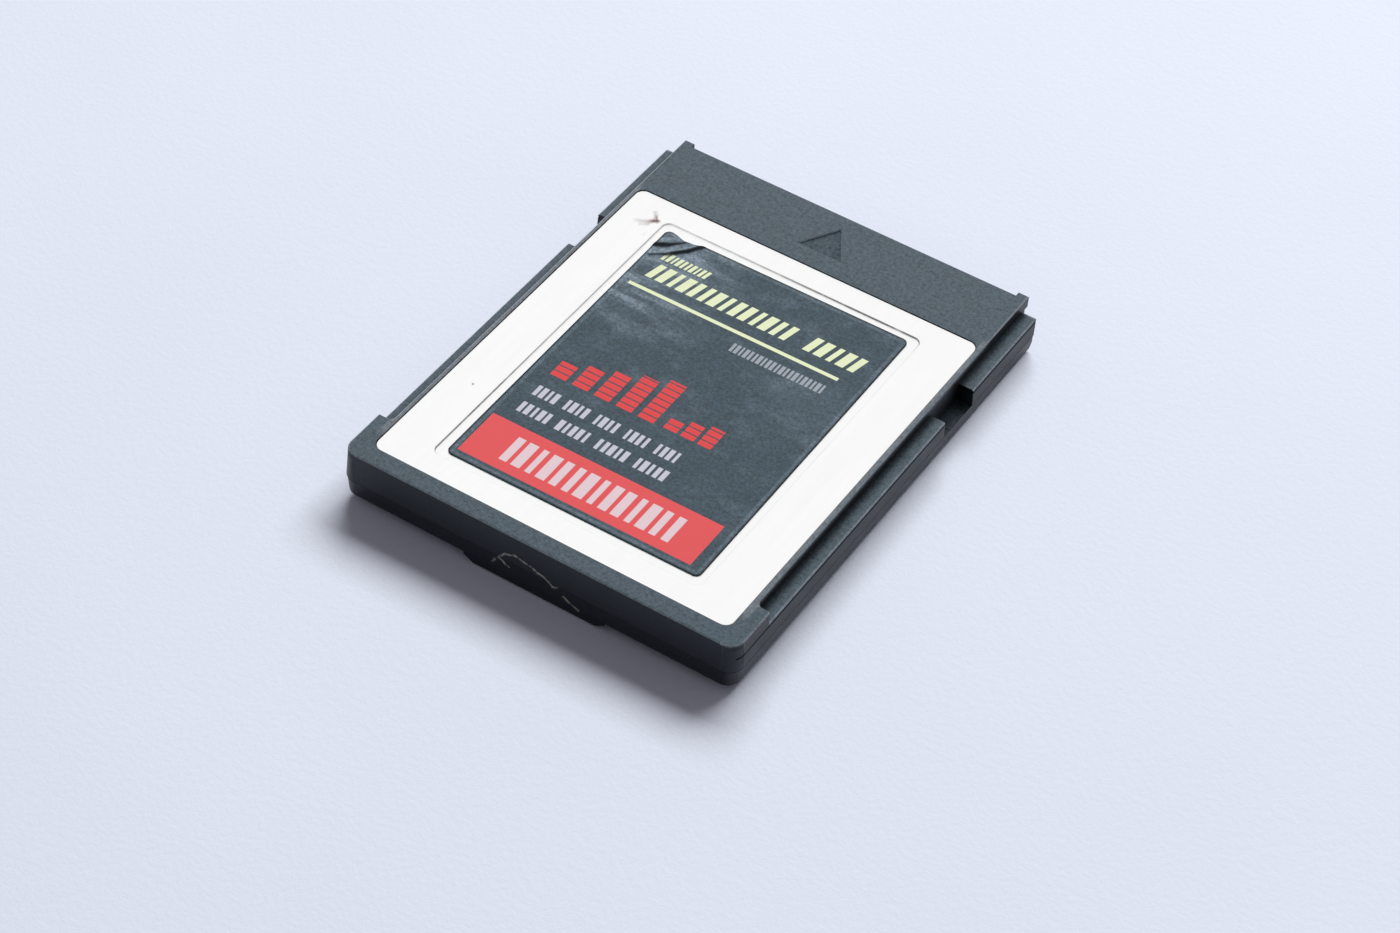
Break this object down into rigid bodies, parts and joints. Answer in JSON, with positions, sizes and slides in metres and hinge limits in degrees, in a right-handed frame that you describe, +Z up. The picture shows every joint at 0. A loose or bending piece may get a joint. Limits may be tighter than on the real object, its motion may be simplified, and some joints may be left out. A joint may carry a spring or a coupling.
{
  "type": "flash memory card",
  "caption": "Removable memory card for a camera: black two-part frame with notched guide rails, steel covers, label, circuit board and a slotted contact comb at the insertion end.",
  "frame": {"origin": "under the middle of the card, on the surface that it rests on", "axes": "+Y points to the insertion end, +X across the card to the right when the label faces up, +Z up to the labelled side"},
  "size_m": [0.0296, 0.0384, 0.0044],
  "materials": {
    "frame_black": "fine spark-eroded texture, satin",
    "cover_steel": "fine brushing, satin",
    "label_film": "satin laminated film with plain fields of colour",
    "comb_plastic": "matt glass-filled moulding",
    "contact_gold": "gold plated",
    "board_green": "solder mask",
    "package_black": "moulded epoxy",
    "crystal_can": "plated can",
    "ferrite_grey": "sintered ferrite",
    "capacitor_brown": "fired ceramic",
    "pad_blue": "soft silicone"
  },
  "bodies": {
    "root": {"upper_frame": "frame_black", "lower_frame": "frame_black", "top_cover": "cover_steel", "bottom_cover": "cover_steel", "label": "label_film", "connector_housing": "comb_plastic", "contact_01": "contact_gold", "contact_02": "contact_gold", "contact_03": "contact_gold", "contact_04": "contact_gold", "contact_05": "contact_gold", "contact_06": "contact_gold", "contact_07": "contact_gold", "contact_08": "contact_gold", "contact_09": "contact_gold", "contact_10": "contact_gold", "contact_11": "contact_gold", "contact_12": "contact_gold", "contact_13": "contact_gold", "contact_14": "contact_gold", "contact_15": "contact_gold", "contact_16": "contact_gold", "contact_17": "contact_gold", "contact_18": "contact_gold", "contact_19": "contact_gold", "contact_20": "contact_gold", "circuit_board": "board_green", "controller": "package_black", "working_memory": "package_black", "power_chip": "package_black", "crystal": "crystal_can", "memory_1": "package_black", "memory_2": "package_black", "memory_3": "package_black", "memory_4": "package_black", "coil_1": "ferrite_grey", "coil_2": "ferrite_grey", "coil_3": "ferrite_grey", "capacitor_1": "capacitor_brown", "capacitor_2": "capacitor_brown", "capacitor_3": "capacitor_brown", "capacitor_4": "capacitor_brown", "capacitor_5": "capacitor_brown", "capacitor_6": "capacitor_brown", "capacitor_7": "capacitor_brown", "capacitor_8": "capacitor_brown", "controller_pad": "pad_blue", "memory_pad_left": "pad_blue", "memory_pad_right": "pad_blue"}
  },
  "joints": []
}
